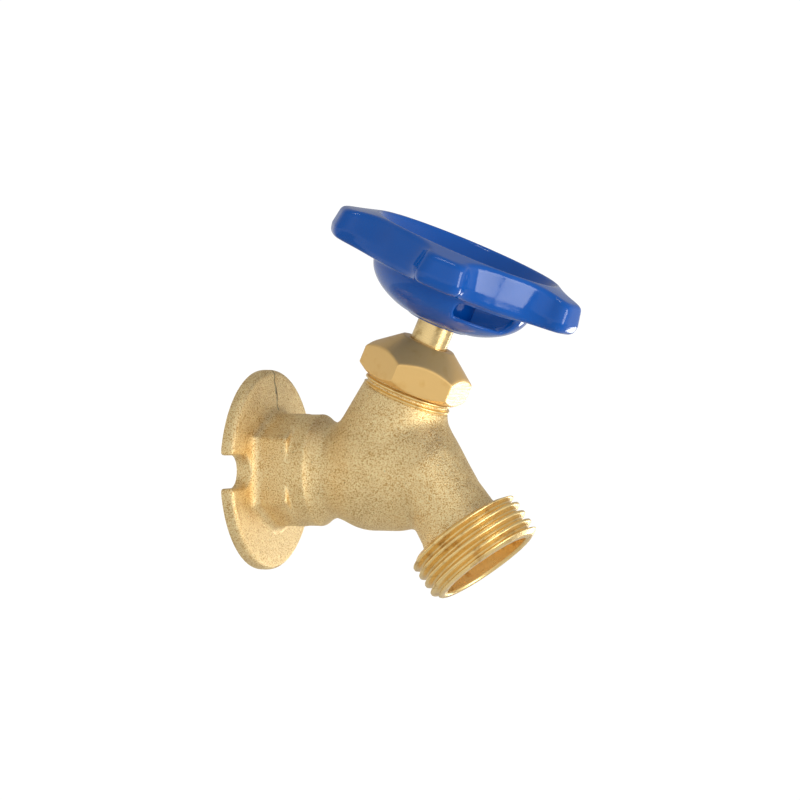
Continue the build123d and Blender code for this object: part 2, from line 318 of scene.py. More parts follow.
def rounded(corners: Sequence[tuple], steps: int = 5) -> np.ndarray:
    """A profile with its corners rounded.

    Each corner (radius, along, rounding) becomes a quadratic curve between the points that lie its
    rounding back along both sides, which leaves a straight run between corners.

    Args:
        corners: radius, distance along and rounding of each corner.
        steps: points on each rounded corner.

    Returns:
        The profile as rows of (radius, along).
    """
    places = np.array([corner[:2] for corner in corners], dtype=float)
    points = [places[:1]]
    share = np.linspace(0, 1, steps)[:, None]
    for before, here, after, corner in zip(places, places[1:], places[2:], corners[1:-1]):
        back, ahead = before - here, after - here
        back = here + back * min(0.5, corner[2] / max(np.hypot(*back), 1e-9))
        ahead = here + ahead * min(0.5, corner[2] / max(np.hypot(*ahead), 1e-9))
        points.append((1 - share) ** 2 * back + 2 * share * (1 - share) * here + share**2 * ahead)
    points.append(places[-1:])
    return np.concatenate(points)


def to_mesh(name: str, skin: tuple[np.ndarray, np.ndarray], smooth: bool = True) -> bpy.types.Object:
    """A mesh object from points in millimetres and four-sided faces.

    Points that fall together, as at a pole, are merged, and the faces are turned outwards.

    Args:
        name: name of the object.
        skin: points and faces.
        smooth: whether the faces shade smoothly.

    Returns:
        The object, at the origin.
    """
    points, faces = skin
    places, number = np.unique(np.round(points, 4), axis=0, return_inverse=True)
    number = number.reshape(-1)
    faces = number[faces]
    triangles = np.concatenate([faces[:, [0, 1, 2]], faces[:, [0, 2, 3]]])
    distinct = (
        (triangles[:, 0] != triangles[:, 1])
        & (triangles[:, 1] != triangles[:, 2])
        & (triangles[:, 2] != triangles[:, 0])
    )
    triangles = triangles[distinct]
    corner = places[triangles].astype(float)
    volume = np.einsum("ij,ij->i", corner[:, 0], np.cross(corner[:, 1], corner[:, 2])).sum()
    if volume < 0:
        triangles = triangles[:, ::-1]
    mesh = bpy.data.meshes.new(name)
    mesh.from_pydata((places * MM).tolist(), [], triangles.tolist())
    mesh.polygons.foreach_set("use_smooth", np.full(len(triangles), smooth))
    mesh.update()
    piece = bpy.data.objects.new(name, mesh)
    bpy.context.scene.collection.objects.link(piece)
    return piece


# ---------------------------------------------------------------- finishes
def linear(colour: str) -> tuple[float, float, float, float]:
    """A shader colour from an sRGB hex value such as "#D6BC86"."""
    parts = [int(colour[k : k + 2], 16) / 255 for k in (1, 3, 5)]
    return (*[part / 12.92 if part <= 0.04045 else ((part + 0.055) / 1.055) ** 2.4 for part in parts], 1.0)


def add(
    tree: bpy.types.NodeTree, kind: str, links: dict | None = None, **settings: object
) -> bpy.types.Node:
    """Adds a node.

    Args:
        tree: the node tree.
        kind: the node's type name.
        links: input name or number to an output socket or a plain value.
        settings: attributes of the node.

    Returns:
        The node.
    """
    node = tree.nodes.new(kind)
    for name, value in settings.items():
        setattr(node, name, value)
    for name, value in (links or {}).items():
        if isinstance(value, bpy.types.NodeSocket):
            tree.links.new(value, node.inputs[name])
        else:
            node.inputs[name].default_value = value
    return node


def new_material(
    name: str,
) -> tuple[bpy.types.Material, bpy.types.NodeTree, bpy.types.Node, bpy.types.NodeSocket]:
    """An empty node material with its shader and the object's coordinates.

    Args:
        name: the material's name.

    Returns:
        The material, its tree, its Principled shader and the Object coordinates' socket.
    """
    material = bpy.data.materials.new(name)
    material.use_nodes = True
    tree = material.node_tree
    tree.nodes.clear()
    shader = add(tree, "ShaderNodeBsdfPrincipled")
    add(tree, "ShaderNodeOutputMaterial", {"Surface": shader.outputs[0]})
    place = add(tree, "ShaderNodeTexCoord").outputs["Object"]
    return material, tree, shader, place


def per_metre(size_mm: float) -> float:
    """Scale of a pattern whose features are a number of millimetres across."""
    return 1.0 / (size_mm * MM)


@dataclass(frozen=True)
class BlastedBrass:
    """Sand-cast brass, tumbled and blasted: pale and matt, with a grain and a soft mottle.

    The blasting leaves dimples about 0.27 mm across that break up every reflection, and hollows keep
    a browner oxide that the high spots have lost.
    """

    name: str = "sand_blasted_cast_brass"
    high: str = "#FFEEBB"
    middle: str = "#F4D69B"
    low: str = "#C79A56"
    roughness: float = 0.5
    grain: float = 0.27
    mottle: float = 3.5
    pit: float = 2.1
    relief: float = 0.14
    grain_share: float = 0.85
    mottle_share: float = 0.15

    def make(self) -> bpy.types.Material:
        """Builds the material.

        Returns:
            The material.
        """
        material, tree, shader, place = new_material(self.name)
        grain = add(
            tree, "ShaderNodeTexNoise", {"Vector": place, "Scale": per_metre(self.grain), "Detail": 3.0}
        )
        mottle = add(
            tree, "ShaderNodeTexNoise", {"Vector": place, "Scale": per_metre(self.mottle), "Detail": 5.0}
        )
        pits = add(
            tree, "ShaderNodeTexVoronoi", {"Vector": place, "Scale": per_metre(self.pit), "Randomness": 1.0}
        )
        tone = add(
            tree, "ShaderNodeMath", {0: grain.outputs["Fac"], 1: self.grain_share}, operation="MULTIPLY"
        )
        tone = add(
            tree, "ShaderNodeMath", {0: mottle.outputs["Fac"], 1: self.mottle_share, 2: tone.outputs[0]},
            operation="MULTIPLY_ADD",
        )
        ramp = add(tree, "ShaderNodeValToRGB", {"Fac": tone.outputs[0]})
        ramp.color_ramp.elements[0].position = 0.38
        ramp.color_ramp.elements[0].color = linear(self.low)
        ramp.color_ramp.elements[1].position = 0.64
        ramp.color_ramp.elements[1].color = linear(self.high)
        ramp.color_ramp.elements.new(0.48).color = linear(self.middle)
        dark = add(
            tree, "ShaderNodeMapRange", {0: pits.outputs["Distance"], 1: 0.0, 2: 0.12, 3: 0.6, 4: 1.0}
        )
        seam = self.seam(tree, place, mottle)
        dark = add(tree, "ShaderNodeMath", {0: dark.outputs[0], 1: seam}, operation="MULTIPLY")
        colour = add(
            tree, "ShaderNodeMix", {0: 1.0, 6: ramp.outputs[0], 7: dark.outputs[0]},
            data_type="RGBA", blend_type="MULTIPLY",
        )
        tree.links.new(colour.outputs[2], shader.inputs["Base Color"])
        rough = add(
            tree, "ShaderNodeMapRange",
            {0: mottle.outputs["Fac"], 1: 0.3, 2: 0.7, 3: self.roughness - 0.08, 4: self.roughness + 0.1},
        )
        tree.links.new(rough.outputs[0], shader.inputs["Roughness"])
        relief = add(tree, "ShaderNodeMath", {0: grain.outputs["Fac"], 1: dark.outputs[0]}, operation="ADD")
        relief = add(
            tree, "ShaderNodeMath", {0: seam, 1: 2.0, 2: relief.outputs[0]}, operation="MULTIPLY_ADD"
        )
        bump = add(
            tree, "ShaderNodeBump",
            {"Strength": 1.0, "Distance": self.relief * MM, "Height": relief.outputs[0]},
        )
        tree.links.new(bump.outputs[0], shader.inputs["Normal"])
        shader.inputs["Metallic"].default_value = 1.0
        return material

    def seam(
        self, tree: bpy.types.NodeTree, place: bpy.types.NodeSocket, mottle: bpy.types.Node
    ) -> bpy.types.NodeSocket:
        """The split the mould's joint left in the flange above the neck: 0.35 in it and one elsewhere.

        Args:
            tree: the material's nodes.
            place: the object's coordinates.
            mottle: noise that makes the line wander.

        Returns:
            The factor.
        """
        split = add(tree, "ShaderNodeSeparateXYZ", {0: place})
        aside = add(
            tree, "ShaderNodeMath", {0: mottle.outputs["Fac"], 1: 3.0 * MM, 2: -1.5 * MM},
            operation="MULTIPLY_ADD",
        )
        aside = add(tree, "ShaderNodeMath", {0: aside.outputs[0], 1: split.outputs["Y"]}, operation="ADD")
        aside = add(tree, "ShaderNodeMath", {0: aside.outputs[0]}, operation="ABSOLUTE")
        line = add(
            tree, "ShaderNodeMapRange", {0: aside.outputs[0], 1: 0.1 * MM, 2: 0.35 * MM, 3: 0.35, 4: 1.0}
        )
        above = add(
            tree, "ShaderNodeMapRange", {0: split.outputs["Z"], 1: 12.7 * MM, 2: 13.6 * MM, 3: 1.0, 4: 0.0}
        )
        flange = add(
            tree, "ShaderNodeMapRange", {0: split.outputs["X"], 1: 5.0 * MM, 2: 6.0 * MM, 3: 0.0, 4: 1.0}
        )
        both = add(tree, "ShaderNodeMath", {0: above.outputs[0], 1: flange.outputs[0]}, operation="ADD")
        return add(
            tree, "ShaderNodeMath", {0: line.outputs[0], 1: both.outputs[0]}, operation="ADD", use_clamp=True
        ).outputs[0]


@dataclass(frozen=True)
class TurnedBrass:
    """Free-cutting brass as it comes off the lathe, with fine rings round its axis."""

    name: str
    axis: Axis
    colour: str = "#E3BE72"
    stain: str = "#9A7434"
    roughness: float = 0.24
    ring: float = 0.16
    relief: float = 0.02
    metallic: float = 1.0
    patch: float = 2.8

    def make(self) -> bpy.types.Material:
        """Builds the material.

        Returns:
            The material.
        """
        material, tree, shader, place = new_material(self.name)
        along = add(
            tree,
            "ShaderNodeVectorMath",
            {0: place, 1: self.axis.along},
            operation="DOT_PRODUCT",
        )
        spread = add(tree, "ShaderNodeVectorMath", {0: place, "Scale": 0.04}, operation="SCALE")
        lift = add(
            tree, "ShaderNodeVectorMath", {0: self.axis.along, "Scale": along.outputs["Value"]},
            operation="SCALE",
        )
        where = add(
            tree, "ShaderNodeVectorMath", {0: lift.outputs[0], 1: spread.outputs[0]}, operation="ADD"
        )
        rings = add(
            tree, "ShaderNodeTexNoise",
            {"Vector": where.outputs[0], "Scale": per_metre(self.ring), "Detail": 4.0},
        )
        patch = add(
            tree, "ShaderNodeTexNoise", {"Vector": place, "Scale": per_metre(self.patch), "Detail": 6.0}
        )
        share = add(
            tree, "ShaderNodeMapRange", {0: patch.outputs["Fac"], 1: 0.56, 2: 0.74, 3: 0.0, 4: 0.75}
        )
        colour = add(
            tree,
            "ShaderNodeMix",
            {0: share.outputs[0], 6: linear(self.colour), 7: linear(self.stain)},
            data_type="RGBA",
        )
        tree.links.new(colour.outputs[2], shader.inputs["Base Color"])
        rough = add(
            tree,
            "ShaderNodeMapRange",
            {0: rings.outputs["Fac"], 1: 0.3, 2: 0.7, 3: self.roughness - 0.05, 4: self.roughness + 0.09},
        )
        tree.links.new(rough.outputs[0], shader.inputs["Roughness"])
        bump = add(
            tree, "ShaderNodeBump",
            {"Strength": 0.6, "Distance": self.relief * MM, "Height": rings.outputs["Fac"]},
        )
        tree.links.new(bump.outputs[0], shader.inputs["Normal"])
        shader.inputs["Metallic"].default_value = self.metallic
        return material


@dataclass(frozen=True)
class DipCoating:
    """Vinyl plastisol that the cast wheel was dipped in: thick, glossy and slightly wavy."""

    name: str = "glossy_blue_vinyl_dip_coating"
    colour: str = "#0259B4"
    deep: str = "#0151A8"
    roughness: float = 0.11
    ior: float = 1.42
    ripple: float = 5.0
    relief: float = 0.1

    def make(self) -> bpy.types.Material:
        """Builds the material.

        Returns:
            The material.
        """
        material, tree, shader, place = new_material(self.name)
        flow = add(
            tree, "ShaderNodeTexNoise", {"Vector": place, "Scale": per_metre(self.ripple), "Detail": 2.0}
        )
        colour = add(
            tree,
            "ShaderNodeMix",
            {0: flow.outputs["Fac"], 6: linear(self.colour), 7: linear(self.deep)},
            data_type="RGBA",
        )
        tree.links.new(colour.outputs[2], shader.inputs["Base Color"])
        bump = add(
            tree, "ShaderNodeBump",
            {"Strength": 0.5, "Distance": self.relief * MM, "Height": flow.outputs["Fac"]},
        )
        tree.links.new(bump.outputs[0], shader.inputs["Normal"])
        shader.inputs["Roughness"].default_value = self.roughness
        shader.inputs["IOR"].default_value = self.ior
        return material


@dataclass(frozen=True)
class PlainFinish:
    """A finish with one colour, a speckle and a fine relief."""

    name: str
    colour: str
    speckle: str
    roughness: float
    metallic: float = 0.0
    grain: float = 0.5
    relief: float = 0.03

    def make(self) -> bpy.types.Material:
        """Builds the material.

        Returns:
            The material.
        """
        material, tree, shader, place = new_material(self.name)
        grain = add(
            tree, "ShaderNodeTexNoise", {"Vector": place, "Scale": per_metre(self.grain), "Detail": 3.0}
        )
        colour = add(
            tree,
            "ShaderNodeMix",
            {0: grain.outputs["Fac"], 6: linear(self.colour), 7: linear(self.speckle)},
            data_type="RGBA",
        )
        tree.links.new(colour.outputs[2], shader.inputs["Base Color"])
        bump = add(
            tree, "ShaderNodeBump",
            {"Strength": 0.5, "Distance": self.relief * MM, "Height": grain.outputs["Fac"]},
        )
        tree.links.new(bump.outputs[0], shader.inputs["Normal"])
        shader.inputs["Roughness"].default_value = self.roughness
        shader.inputs["Metallic"].default_value = self.metallic
        return material


def dress(piece: bpy.types.Object, material: bpy.types.Material) -> None:
    """Gives a piece one material in place of any it has."""
    piece.data.materials.clear()
    piece.data.materials.append(material)


def report(piece: bpy.types.Object, body: str) -> None:
    """Logs a finished piece, its body and its size."""
    LOG.info("%s rides on %s with %d faces", piece.name, body, len(piece.data.polygons))


# ---------------------------------------------------------------- the casting and its threads
@dataclass
class Casting:
    """The brass body: wall flange, wrench hexagon, collar, globe, stem barrel and spout."""

    flange_r: float = 22.4
    flange_rim: float = 2.9
    flange_rise: float = 0.9
    slot_half: float = 3.6
    slot_end: float = 17.5
    hex_half: float = 12.4
    hex_half_height: float = 12.5
    hex_end: float = 11.4
    collar_r: float = 12.4
    collar_end: float = 15.3
    waist_r: float = 10.5
    waist_x: float = 17.6
    globe_r: float = 11.8
    globe_back: tuple = (27.5, 0.0, -1.4)
    globe_front: tuple = (32.5, 0.0, -1.4)
    barrel_foot: tuple = (12.3, 0.0)
    barrel_top: tuple = (9.8, 18.0)
    neck: tuple = (9.35, 25.8)
    inlet: tuple = (9.3, 15.0)
    spout_rise: tuple = ((8.9, 16.6, 27.0, 33.0), (0.0, 0.5, 1.0, 1.5))
    spout_height: tuple = ((8.9, 11.5, 16.6, 21.0, 27.0), (9.7, 8.8, 8.3, 8.6, 9.2))
    spout_width: tuple = ((8.9, 11.5, 16.6, 25.0, 33.0), (11.6, 11.1, 11.0, 11.2, 9.4))
    plate_r: float = 11.8
    inlet_mouth_r: float = 10.2
    passage_start: tuple = (14.0, 0.0, -2.5)
    passage_end: tuple = (25.6, 0.0, -6.9)
    passage_r: float = 4.6
    port_r: float = 4.25
    chamber_r: float = 6.3
    lift_bore_r: float = 7.08
    box_r: float = 8.0
    outlet_r: float = 4.5
    throat_r: float = 10.4
    step: float = 0.42

    def flange(self, x: np.ndarray, y: np.ndarray, z: np.ndarray, radius: np.ndarray) -> np.ndarray:
        """Wall flange: a disc whose face rises evenly towards the neck, less two slots open to the rim.

        Args:
            x: distances from the wall.
            y: distances sideways.
            z: heights.
            radius: distances from the pipe's axis.

        Returns:
            The field.
        """
        face = self.flange_rim + self.flange_rise * (self.flange_r - radius) / (self.flange_r - self.hex_half)
        plate = keep(x - face, radius - self.flange_r, 1.3)
        slot = np.hypot(np.minimum(np.abs(y) - self.slot_end, 0.0), z) - self.slot_half
        return cut(plate, slot, 0.9)

    def wrench(self, x: np.ndarray, y: np.ndarray, z: np.ndarray, radius: np.ndarray) -> np.ndarray:
        """Wrench hexagon with its top and bottom corners off, then the collar and the waist.

        Args:
            x: distances from the wall.
            y: distances sideways.
            z: heights.
            radius: distances from the pipe's axis.

        Returns:
            The field.
        """
        tilted = [np.abs(0.5 * y + side * math.sqrt(0.75) * z) for side in (-1, 1)]
        flats = keep(keep(tilted[0], tilted[1], 0.7), np.abs(y), 0.7) - self.hex_half
        flats = keep(flats, np.abs(z) - self.hex_half_height, 0.8)
        flats = keep(flats, x - self.hex_end, 0.9)
        collar = keep(radius - self.collar_r, x - self.collar_end, 1.0)
        taper = cone(radius, x, (self.collar_r, self.collar_end - 0.6), (self.waist_r, self.waist_x), 0.3)
        waist = keep(radius - self.waist_r, x - self.globe_back[0], 0.5)
        return join(join(flats, collar, 0.4), join(taper, waist, 1.0), 0.4)

    def spout(self, across: np.ndarray, side: np.ndarray, along: np.ndarray) -> np.ndarray:
        """Spout tube: an oval that narrows to a waist, then flares, and the plate behind the hose nose.

        Args:
            across: distances across the spout, in its plane.
            side: distances sideways.
            along: distances along it, with its end at zero.

        Returns:
            The field.
        """
        back = -along
        rise, height, width = [
            np.interp(back, stations, sizes).astype(back.dtype)
            for stations, sizes in (self.spout_rise, self.spout_height, self.spout_width)
        ]
        tube = oval(across - rise, side, height, width)
        tube = keep(keep(tube, along + 9.2, 0.3), back - 33.0, 4.0)
        plate = np.maximum(np.hypot(across, side) - self.plate_r, np.abs(along + 8.6) - 0.95)
        return np.minimum(tube, plate)

    def hollow(self, points: np.ndarray, radius: np.ndarray) -> np.ndarray:
        """The waterway: inlet, passage under the seat, chamber and packing box, and spout bore.

        Args:
            points: positions in millimetres.
            radius: distances from the pipe's axis.

        Returns:
            The field, negative in the water.
        """
        x = points[..., 0]
        inlet = np.maximum(radius - self.inlet[0], x - self.inlet[1])
        chamfer = cone(radius, x, (self.inlet_mouth_r, -0.5), (self.inlet[0], 0.4), 0.1)
        passage = capsule(points, self.passage_start, self.passage_end, self.passage_r)
        across, side, along = STEM.local(points)
        reach = np.hypot(across, side)
        port = np.maximum(reach - self.port_r, np.maximum(-7.0 - along, along - 1.0))
        chamber = np.maximum(reach - self.chamber_r, np.maximum(-along, along - 9.0))
        bore = np.maximum(reach - self.lift_bore_r, np.maximum(8.6 - along, along - 23.0))
        box = np.maximum(reach - self.box_r, 22.3 - along)
        across, side, along = SPOUT.local(points)
        reach = np.hypot(across, side)
        outlet = np.maximum(reach - self.outlet_r, np.maximum(along + 7.0, -32.0 - along))
        mouth = cone(reach, along, (self.outlet_r, -10.5), (self.throat_r, -7.5), 0.1)
        throat = np.maximum(reach - self.throat_r, -7.6 - along)
        parts = [join(inlet, chamfer, 0.1), passage, port, chamber, bore, box, outlet, mouth, throat]
        return np.minimum.reduce(parts)

    def outside(self, points: np.ndarray) -> np.ndarray:
        """The casting's outer form, each part run into the next with the pattern's fillets.

        Args:
            points: positions in millimetres.

        Returns:
            The field.
        """
        x, y, z = points[..., 0], points[..., 1], points[..., 2]
        radius = np.hypot(y, z)
        pipe = keep(join(self.flange(x, y, z, radius), self.wrench(x, y, z, radius), 2.2), -x, 0.5)
        globe = capsule(points, self.globe_back, self.globe_front, self.globe_r)
        across, side, along = STEM.local(points)
        reach = np.hypot(across, side)
        barrel = keep(cone(reach, along, self.barrel_foot, self.barrel_top, 0.8), -along, 7.0)
        neck = np.maximum(reach - self.neck[0], np.maximum(along - self.neck[1], 10.0 - along))
        spout = self.spout(*SPOUT.local(points))
        trunk = join(join(join(globe, barrel, 4.0), spout, 2.5), pipe, 1.6)
        return np.minimum(trunk, neck)

    def field(self, points: np.ndarray) -> np.ndarray:
        """The casting as metal: its outer form less the waterway."""
        radius = np.hypot(points[..., 1], points[..., 2])
        return keep(self.outside(points), -self.hollow(points, radius), 0.3)

    def build(self, material: bpy.types.Material) -> bpy.types.Object:
        """Builds the casting as one closed skin.

        Rounded solids that run into one another have no single grid, so the skin is taken where
        their joined distance field is zero.

        Args:
            material: the blasted brass.

        Returns:
            The piece.
        """
        skin = skin_of(self.field, (-1.2, -23.6, -27.6), (60.0, 23.6, 27.6), self.step)
        piece = to_mesh("valve_casting", skin)
        dress(piece, material)
        return piece


@dataclass
class Thread:
    """An outside screw thread cut round a sleeve, as one closed skin."""

    name: str
    axis: Axis
    crest_r: float
    root_r: float
    pitch: float
    start: float
    end: float
    bore_r: float
    lead: float
    phase: float = 0.0
    shoulder: float = 0.0
    turns: int = 320
    spacing: float = 0.14
    flank_degrees: float = 26.0
    end_slope: float = 2.0
    start_slope: float = 2.5

    def build(self, material: bpy.types.Material) -> bpy.types.Object:
        """Builds the threaded sleeve.

        At angle a and distance t the depth in the thread is how far t less a turn's share of the
        pitch is from the nearest crest: the radius is the crest's over a narrow flat, then falls
        down the flank to the root. A cone at either end takes the first crests down. The sleeve's
        bore closes the loop.

        Args:
            material: the finish.

        Returns:
            The piece.
        """
        rows = int((self.end - self.start) / self.spacing)
        along = np.linspace(self.start, self.end, rows)[:, None]
        angle = np.linspace(0, 2 * np.pi, self.turns, endpoint=False)[None, :]
        turn = (along - self.phase) / self.pitch - angle / (2 * np.pi)
        away = np.abs(turn - np.round(turn)) * self.pitch
        depth = self.crest_r - self.root_r
        flank = depth * math.tan(math.radians(self.flank_degrees))
        half_crest = (self.pitch - 2 * flank) / 4
        fall = np.clip((away - half_crest) / flank, 0, 1)
        fall = 0.35 * fall * fall * (3 - 2 * fall) + 0.65 * fall
        radius = self.crest_r - depth * fall
        lead = self.crest_r - np.maximum(along - self.end + self.lead, 0) * self.end_slope
        radius = np.minimum(radius, lead + 0 * angle)
        back = self.root_r + np.maximum(along - self.start, 0) * self.start_slope - self.shoulder
        radius = np.minimum(radius, back + 0 * angle)
        bore = np.linspace(self.end, self.start, max(6, rows // 4))[:, None] + 0 * angle
        radius = np.vstack([radius, np.full_like(bore, self.bore_r)])
        along = np.vstack([along + 0 * angle, bore])
        angle = np.broadcast_to(angle, radius.shape)
        points = self.axis.place(radius * np.cos(angle), radius * np.sin(angle), along)
        piece = to_mesh(self.name, skin_of_grid(points, wrap_rows=True))
        dress(piece, material)
        return piece


# ---------------------------------------------------------------- the packing nut
@dataclass
class PackingNut:
    """Coned hexagon nut: faceted outside, arcs where the cone meets the facets."""

    half_flats: float = 10.95
    foot: float = 20.2
    top: float = 30.7
    cone: float = 3.9
    face_r: float = 6.0
    foot_r: float = 10.7
    foot_chamfer: float = 1.3
    hole_r: float = 4.3
    bore_r: float = 10.08
    corner_r: float = 12.64
    box_r: float = 6.6
    box_roof: float = 28.4
    box_foot: float = 26.2
    turns: int = 432
    rows: int = 72

    def build(self, material: bpy.types.Material) -> bpy.types.Object:
        """Builds the nut.

        The radius at angle a and height s is the least of the hexagon, which is half the width
        over flats divided by the cosine of the angle from the nearest flat's middle, the cone down
        from the top face, and the chamfer up from the foot, with a small rounding between them.

        Args:
            material: the finish.

        Returns:
            The piece.
        """
        angle = np.linspace(0, 2 * np.pi, self.turns, endpoint=False)[None, :]
        sixth = np.pi / 3
        off = angle - np.round(angle / sixth) * sixth
        along = np.linspace(self.foot, self.top, self.rows)[:, None]
        hexagon = self.half_flats / np.cos(off) + 0 * along
        slope = (self.half_flats - self.face_r) / self.cone
        coned = self.face_r + (self.top - along) * slope + 0 * angle
        spread = self.corner_r - self.foot_r
        footed = self.foot_r + (along - self.foot) * spread / self.foot_chamfer + 0 * angle
        radius = join(join(hexagon, coned, 0.45), footed, 0.35)
        inner = rounded(
            (
                (self.face_r, self.top, 0),
                (self.hole_r, self.top, 0.35),
                (self.hole_r, self.box_roof, 0.1),
                (self.box_r, self.box_roof, 0.1),
                (self.box_r, self.box_foot, 0.1),
                (self.bore_r, self.box_foot, 0.1),
                (self.bore_r, self.foot, 0.1),
            ),
            4,
        )[1:]
        radius = np.vstack([radius, inner[:, :1] + 0 * angle])
        along = np.vstack([along + 0 * angle, inner[:, 1:] + 0 * angle])
        angle = np.broadcast_to(angle, radius.shape)
        points = STEM.place(radius * np.cos(angle), radius * np.sin(angle), along)
        piece = to_mesh("packing_nut_shell", skin_of_grid(points, wrap_rows=True))
        dress(piece, material)
        return piece


# ---------------------------------------------------------------- the handwheel
@dataclass
class Handwheel:
    """Dip-coated wheel: a lobed rim, a round bowl with two windows, and a hub."""

    rim_r: float = 22.2
    rim_foot: float = 44.3
    rim_top: float = 53.55
    lobes: int = 5
    lobe_angle: float = -77.0
    tip_r: float = 29.6
    lobe_half: float = 5.3
    lobe_corner: float = 3.0
    root_blend: float = 6.5
    bowl: tuple = (18.35, 44.6, 9.6)
    inner_bowl: tuple = (16.4, 44.3, 7.0)
    foot: float = 35.8
    hub_r: float = 6.6
    hub_top: float = 43.6
    window_angle: float = -35.3
    windows: int = 2
    window_half: float = 27.0
    window_foot: float = 40.0
    window_top: float = 43.4
    square_half: float = 2.95
    mouth_r: float = 16.6
    mouth_slope: float = 0.44
    hub_clear_r: float = 9.6
    tip_lean: float = 0.16
    lean_height: float = 47.5
    step: float = 0.4

    def outline(self, across: np.ndarray, side: np.ndarray) -> np.ndarray:
        """Rim outline: a circle joined by fillets to five wide fingers with flat ends and round corners.

        Args:
            across: distances across the stem.
            side: distances sideways.

        Returns:
            The field, the same at every height.
        """
        reach = np.hypot(across, side)
        shape = reach - self.rim_r
        for lobe in range(self.lobes):
            turn = math.radians(self.lobe_angle + lobe * 360 / self.lobes)
            out = across * math.cos(turn) + side * math.sin(turn)
            off = np.abs(side * math.cos(turn) - across * math.sin(turn))
            finger = keep(out - self.tip_r, off - self.lobe_half, self.lobe_corner)
            shape = join(shape, np.maximum(finger, -out), self.root_blend)
        return keep(shape, reach - self.tip_r - 0.1, 0.4)

    def field(self, points: np.ndarray) -> np.ndarray:
        """The wheel's metal and coating as one rounded solid.

        Args:
            points: positions in millimetres.

        Returns:
            The field.
        """
        across, side, along = STEM.local(points)
        reach = np.hypot(across, side)
        lean = self.tip_lean * np.abs(along - self.lean_height) * np.clip((reach - 22.0) / 4.0, 0.0, 1.0)
        outline = self.outline(across, side) + lean
        top = self.rim_top - 0.2 * np.maximum(reach - 20.0, 0)
        under = self.rim_foot + 0.1 * np.maximum(reach - 20.0, 0)
        rim = keep(keep(outline, along - top, 1.1), under - along, 1.3)
        flat = 0 * reach
        bowl = oval(reach, along - self.bowl[1], self.bowl[0] + flat, self.bowl[2] + flat)
        bowl = keep(keep(bowl, along - self.rim_foot - 3, 0.5), self.foot - along, 0.8)
        solid = join(rim, bowl, 0.8)
        hollow = self.inner_bowl
        hollow = oval(reach, along - hollow[1], hollow[0] + flat, hollow[2] + flat)
        mouth = reach - self.mouth_r - (along - self.rim_foot) * self.mouth_slope
        mouth = mouth / math.hypot(1, self.mouth_slope)
        mouth = np.maximum(mouth, self.rim_foot - along)
        solid = cut(solid, join(hollow, mouth, 0.8), 0.8)
        hub = keep(keep(reach - self.hub_r, along - self.hub_top, 0.9), self.foot - along, 0.5)
        solid = join(solid, hub, 1.2)
        angle = np.degrees(np.arctan2(side, across)) - self.window_angle
        share = 360.0 / self.windows
        off = np.abs(angle - np.round(angle / share) * share) - self.window_half
        gap = np.sin(np.radians(off)) * reach
        middle = (self.window_top + self.window_foot) / 2
        band = np.abs(along - middle) - (self.window_top - self.window_foot) / 2
        window = np.maximum(keep(gap, band, 1.6), self.hub_clear_r - reach)
        solid = cut(solid, window, 1.0)
        turn = math.radians(self.lobe_angle)
        first = np.abs(across * math.cos(turn) + side * math.sin(turn)) - self.square_half
        second = np.abs(side * math.cos(turn) - across * math.sin(turn)) - self.square_half
        return keep(solid, -np.maximum(first, second), 0.3)

    def build(self, material: bpy.types.Material) -> bpy.types.Object:
        """Builds the wheel as one closed skin, because its fillets run across every edge.

        Args:
            material: the coating.

        Returns:
            The piece.
        """
        low = np.array([8.0, -32.0, 18.0])
        high = np.array([80.0, 32.0, 64.0])
        skin = skin_of(self.field, low, high, self.step)
        piece = to_mesh("handwheel_shell", skin)
        dress(piece, material)
        return piece


